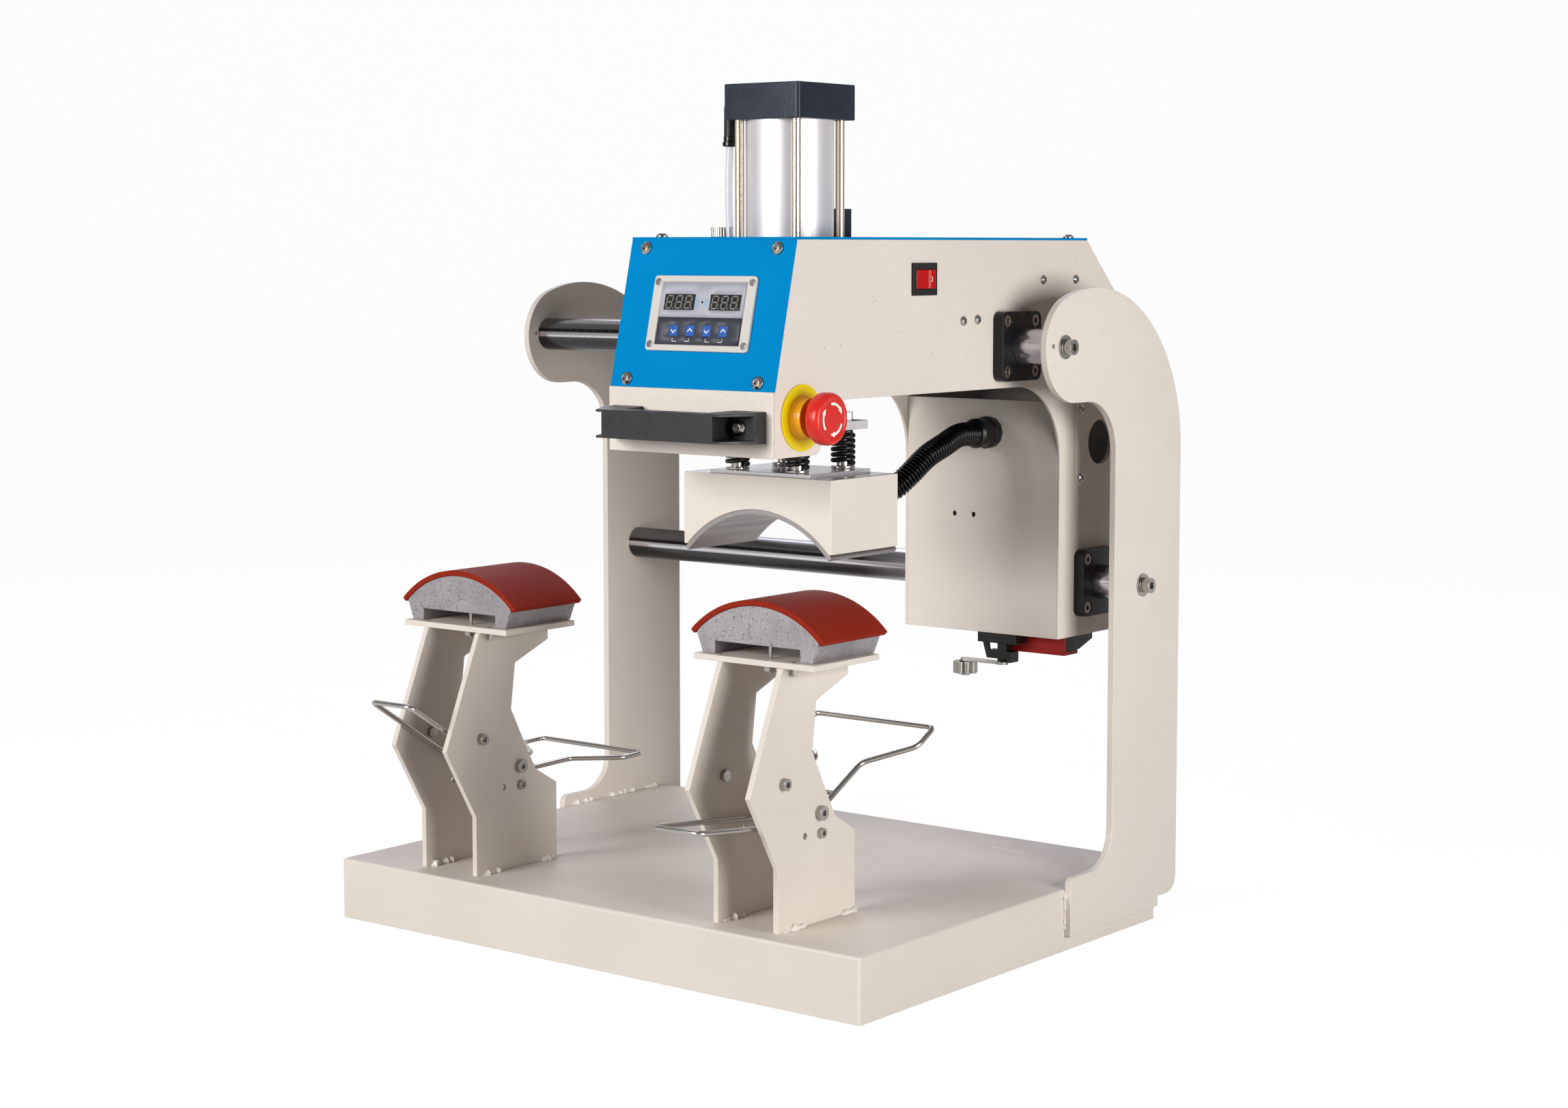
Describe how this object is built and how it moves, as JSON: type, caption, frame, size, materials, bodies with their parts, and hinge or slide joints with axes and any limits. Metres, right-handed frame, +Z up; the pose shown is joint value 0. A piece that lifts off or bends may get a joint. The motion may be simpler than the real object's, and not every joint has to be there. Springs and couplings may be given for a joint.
{
  "type": "cap heat press",
  "caption": "Heat press for caps: a sliding head with a curved heated element and air cylinder works over two padded stands that have wire levers to hold a cap.",
  "frame": {"origin": "on the floor, under the middle of the whole machine", "axes": "+X to the machine's right as its user faces it, +Y to its back, +Z up"},
  "size_m": [0.601, 0.553, 0.72],
  "materials": {
    "cream_paint": "fine powder coat, satin",
    "blue_paint": "powder coat, satin",
    "slate_paint": "smooth satin paint",
    "ground_steel": "ground and polished",
    "chrome_steel": "bright",
    "bare_aluminium": "milled",
    "cast_aluminium": "rough casting",
    "tube_aluminium": "anodised, satin",
    "red_silicone": "matt",
    "black_nylon": "fine grain",
    "black_steel": "black oxide",
    "clear_hose": "clear, smooth",
    "bezel_plastic": "satin",
    "dark_window": "glossy",
    "key_blue": "satin film",
    "stop_yellow": "smooth",
    "stop_red": "smooth",
    "rocker_red": "translucent, glossy",
    "block_red": "satin"
  },
  "bodies": {
    "frame": {"base_pan": "cream_paint", "left_frame_plate": "cream_paint", "right_frame_plate": "cream_paint", "upper_rail": "ground_steel", "lower_rail": "ground_steel", "rail_screws": "chrome_steel", "left_station_plates": "cream_paint", "right_station_plates": "cream_paint", "station_tables": "cream_paint", "station_platens": "cast_aluminium", "station_pads": "red_silicone", "table_screws": "chrome_steel", "station_screws": "chrome_steel", "lever_pivots": "chrome_steel"},
    "left_lever": {"left_cap_lever": "chrome_steel"},
    "right_lever": {"right_cap_lever": "chrome_steel"},
    "carriage": {"left_wall": "cream_paint", "right_wall": "cream_paint", "nose_shell": "cream_paint", "front_panel": "blue_paint", "top_cover": "blue_paint", "cylinder_mount": "bare_aluminium", "rear_box": "cream_paint", "rear_cover": "cream_paint", "upper_bearings": "black_steel", "lower_bearings": "black_steel", "access_covers": "cream_paint", "cylinder_tube": "tube_aluminium", "cylinder_caps": "slate_paint", "tie_rods": "chrome_steel", "hose_fittings": "black_nylon", "air_tube": "clear_hose", "valve_block": "slate_paint", "controller_bezel": "bezel_plastic", "display_windows": "dark_window", "handle": "black_nylon", "carriage_screws": "chrome_steel", "stop_base": "stop_yellow", "rocker_bezel": "black_nylon", "limit_switch": "black_nylon", "parking_block": "block_red", "conduit": "black_nylon"},
    "press": {"piston_rod": "ground_steel", "carrier_plate": "bare_aluminium", "heater_springs": "black_steel"},
    "heater": {"heater_housing": "cream_paint", "heater_plate": "bare_aluminium", "heating_element": "cast_aluminium", "guide_pins": "chrome_steel", "heater_gland": "black_nylon"},
    "knob": {"valve_knob": "bare_aluminium"},
    "stop_stem": {"stop_stem": "black_nylon"},
    "stop_button": {"stop_button": "stop_red"},
    "rocker": {"power_rocker": "rocker_red"},
    "key_1": {"key_1": "key_blue"},
    "key_2": {"key_2": "key_blue"},
    "key_3": {"key_3": "key_blue"},
    "key_4": {"key_4": "key_blue"},
    "switch_lever": {"switch_lever": "chrome_steel"},
    "switch_roller": {"switch_roller": "chrome_steel"}
  },
  "joints": [
    {"name": "carriage_slide", "type": "slide", "parent": "frame", "child": "carriage", "axis": [1, 0, 0], "range_m": [-0.329, 0]},
    {"name": "press_slide", "type": "slide", "parent": "carriage", "child": "press", "axis": [0, 0, 1], "range_m": [-0.066, 0], "stiffness_N_per_m": 400, "springref_m": 0.12, "deforming": ["conduit"]},
    {"name": "heater_float", "type": "slide", "parent": "press", "child": "heater", "axis": [0, 0, 1], "range_m": [0, 0.004], "stiffness_N_per_m": 6000, "springref_m": -0.003, "deforming": ["heater_springs"]},
    {"name": "left_lever_pivot", "type": "hinge", "parent": "frame", "child": "left_lever", "pos_m": [-0.1716, -0.1144, 0.1418], "axis": [1, 0, 0], "range_deg": [0, 30]},
    {"name": "right_lever_pivot", "type": "hinge", "parent": "frame", "child": "right_lever", "pos_m": [0.1574, -0.1144, 0.1418], "axis": [1, 0, 0], "range_deg": [-27, 3]},
    {"name": "knob_turn", "type": "hinge", "parent": "carriage", "child": "knob", "pos_m": [0.0869, -0.1097, 0.6], "axis": [0, 0, 1], "range_deg": [-150, 150]},
    {"name": "stop_push", "type": "slide", "parent": "carriage", "child": "stop_stem", "axis": [1, 0, 0], "range_m": [-0.004, 0], "stiffness_N_per_m": 2000, "springref_m": 0.002},
    {"name": "stop_twist", "type": "hinge", "parent": "stop_stem", "child": "stop_button", "pos_m": [0.2394, -0.202, 0.464], "axis": [1, 0, 0], "range_deg": [0, 40], "stiffness_Nm_per_rad": 0.05, "springref_deg": -17.19},
    {"name": "rocker_tilt", "type": "hinge", "parent": "carriage", "child": "rocker", "pos_m": [0.2394, -0.0435, 0.5668], "axis": [0, 0, 1], "range_deg": [0, 16]},
    {"name": "key_1_press", "type": "slide", "parent": "carriage", "child": "key_1", "axis": [0, -0.9728, 0.2316], "range_m": [-0.0005, 0], "stiffness_N_per_m": 400, "springref_m": 0.0005},
    {"name": "key_2_press", "type": "slide", "parent": "carriage", "child": "key_2", "axis": [0, -0.9728, 0.2316], "range_m": [-0.0005, 0], "stiffness_N_per_m": 400, "springref_m": 0.0005},
    {"name": "key_3_press", "type": "slide", "parent": "carriage", "child": "key_3", "axis": [0, -0.9728, 0.2316], "range_m": [-0.0005, 0], "stiffness_N_per_m": 400, "springref_m": 0.0005},
    {"name": "key_4_press", "type": "slide", "parent": "carriage", "child": "key_4", "axis": [0, -0.9728, 0.2316], "range_m": [-0.0005, 0], "stiffness_N_per_m": 400, "springref_m": 0.0005},
    {"name": "switch_lever_swing", "type": "hinge", "parent": "carriage", "child": "switch_lever", "pos_m": [0.1737, 0.173, 0.228], "axis": [0, 0, 1], "range_deg": [-30, 30], "stiffness_Nm_per_rad": 0.05},
    {"name": "switch_roller_spin", "type": "hinge", "parent": "switch_lever", "child": "switch_roller", "pos_m": [0.1343, 0.173, 0.22], "axis": [0, 0, 1], "continuous": true}
  ]
}
